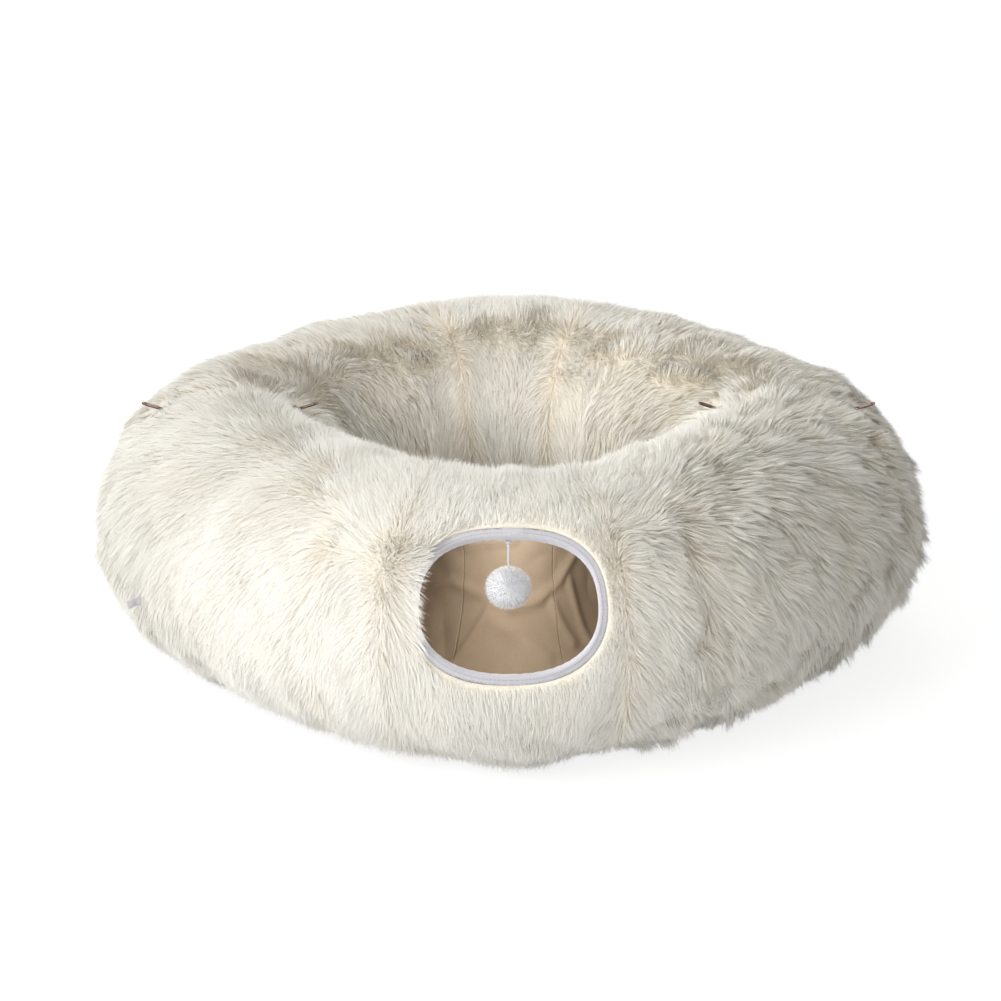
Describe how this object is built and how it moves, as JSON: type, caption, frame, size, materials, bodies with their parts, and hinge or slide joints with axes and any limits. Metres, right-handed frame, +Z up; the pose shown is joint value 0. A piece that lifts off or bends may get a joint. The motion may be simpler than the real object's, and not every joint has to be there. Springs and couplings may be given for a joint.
{
  "type": "donut cat tunnel",
  "caption": "Ring-shaped plush tunnel for cats, zipped together from half rings, with bound entrances, a hanging pom-pom toy and a padded mat in the middle.",
  "frame": {"origin": "on the floor, at the middle of the ring", "axes": "+Z up, -Y towards the entrance with the pom-pom, +X to the right seen from that entrance"},
  "size_m": [0.8692, 0.8756, 0.2857],
  "materials": {
    "ivory_plush": "long-pile ivory plush",
    "tan_lining": "tan woven lining cloth",
    "spring_steel": "drawn wire",
    "white_tape": "woven white tape",
    "zip_tape": "light grey zip tape",
    "dark_bronze": "dark bronze, worn at the edges",
    "white_cord": "soft white cord",
    "white_fluff": "fluffy white pile",
    "foam": "soft open foam"
  },
  "bodies": {
    "tunnel": {"front_cover_centre": "ivory_plush", "front_cover_left": "ivory_plush", "front_cover_right": "ivory_plush", "rear_cover_centre": "ivory_plush", "rear_cover_left": "ivory_plush", "rear_cover_right": "ivory_plush", "mat_plush_top": "ivory_plush", "front_lining_centre": "tan_lining", "front_lining_left": "tan_lining", "front_lining_right": "tan_lining", "rear_lining_centre": "tan_lining", "rear_lining_left": "tan_lining", "rear_lining_right": "tan_lining", "mat_base_cloth": "tan_lining", "front_hoop_1": "spring_steel", "front_hoop_2": "spring_steel", "front_hoop_3": "spring_steel", "front_hoop_4": "spring_steel", "front_hoop_5": "spring_steel", "front_hoop_6": "spring_steel", "rear_hoop_1": "spring_steel", "rear_hoop_2": "spring_steel", "rear_hoop_3": "spring_steel", "rear_hoop_4": "spring_steel", "rear_hoop_5": "spring_steel", "rear_hoop_6": "spring_steel", "front_entrance_binding": "white_tape", "rear_entrance_binding": "white_tape", "cord_anchor": "white_tape", "side_tab": "white_tape", "mat_tab_1": "white_tape", "mat_tab_2": "white_tape", "mat_tab_3": "white_tape", "mat_tab_4": "white_tape", "left_zip_front_tape": "zip_tape", "left_zip_rear_tape": "zip_tape", "right_zip_front_tape": "zip_tape", "right_zip_rear_tape": "zip_tape", "left_inner_zip_stop": "dark_bronze", "left_outer_zip_stop": "dark_bronze", "right_inner_zip_stop": "dark_bronze", "right_outer_zip_stop": "dark_bronze", "mat_foam": "foam"},
    "left_inner_slider": {"left_inner_slider": "dark_bronze"},
    "left_inner_pull": {"left_inner_pull": "dark_bronze"},
    "left_outer_slider": {"left_outer_slider": "dark_bronze"},
    "left_outer_pull": {"left_outer_pull": "dark_bronze"},
    "right_inner_slider": {"right_inner_slider": "dark_bronze"},
    "right_inner_pull": {"right_inner_pull": "dark_bronze"},
    "right_outer_slider": {"right_outer_slider": "dark_bronze"},
    "right_outer_pull": {"right_outer_pull": "dark_bronze"},
    "cord_knot": {"cord_knot": "white_cord"},
    "pompom": {"pompom_cord": "white_cord", "pompom": "white_fluff"}
  },
  "joints": [
    {"name": "left_inner_slider_run", "type": "hinge", "parent": "tunnel", "child": "left_inner_slider", "pos_m": [-0.294, 0, 0.1391], "axis": [0, 1, 0], "range_deg": [-28, 134]},
    {"name": "left_inner_pull_swing", "type": "hinge", "parent": "left_inner_slider", "child": "left_inner_pull", "pos_m": [-0.22353, 0, 0.25187], "axis": [0, -1, 0], "range_deg": [-50, 120]},
    {"name": "left_outer_slider_run", "type": "hinge", "parent": "tunnel", "child": "left_outer_slider", "pos_m": [-0.294, 0, 0.1391], "axis": [0, -1, 0], "range_deg": [-28, 134]},
    {"name": "left_outer_pull_swing", "type": "hinge", "parent": "left_outer_slider", "child": "left_outer_pull", "pos_m": [-0.36447, 0, 0.25187], "axis": [0, 1, 0], "range_deg": [-50, 120]},
    {"name": "right_inner_slider_run", "type": "hinge", "parent": "tunnel", "child": "right_inner_slider", "pos_m": [0.294, 0, 0.1391], "axis": [0, -1, 0], "range_deg": [-28, 134]},
    {"name": "right_inner_pull_swing", "type": "hinge", "parent": "right_inner_slider", "child": "right_inner_pull", "pos_m": [0.22353, 0, 0.25187], "axis": [0, 1, 0], "range_deg": [-50, 120]},
    {"name": "right_outer_slider_run", "type": "hinge", "parent": "tunnel", "child": "right_outer_slider", "pos_m": [0.294, 0, 0.1391], "axis": [0, 1, 0], "range_deg": [-28, 134]},
    {"name": "right_outer_pull_swing", "type": "hinge", "parent": "right_outer_slider", "child": "right_outer_pull", "pos_m": [0.36447, 0, 0.25187], "axis": [0, -1, 0], "range_deg": [-50, 120]},
    {"name": "pompom_swing_through", "type": "hinge", "parent": "tunnel", "child": "cord_knot", "pos_m": [0, -0.35435, 0.23771], "axis": [1, 0, 0], "range_deg": [-50, 50]},
    {"name": "pompom_swing_across", "type": "hinge", "parent": "cord_knot", "child": "pompom", "pos_m": [0, -0.35435, 0.23771], "axis": [0, 1, 0], "range_deg": [-50, 50]}
  ]
}
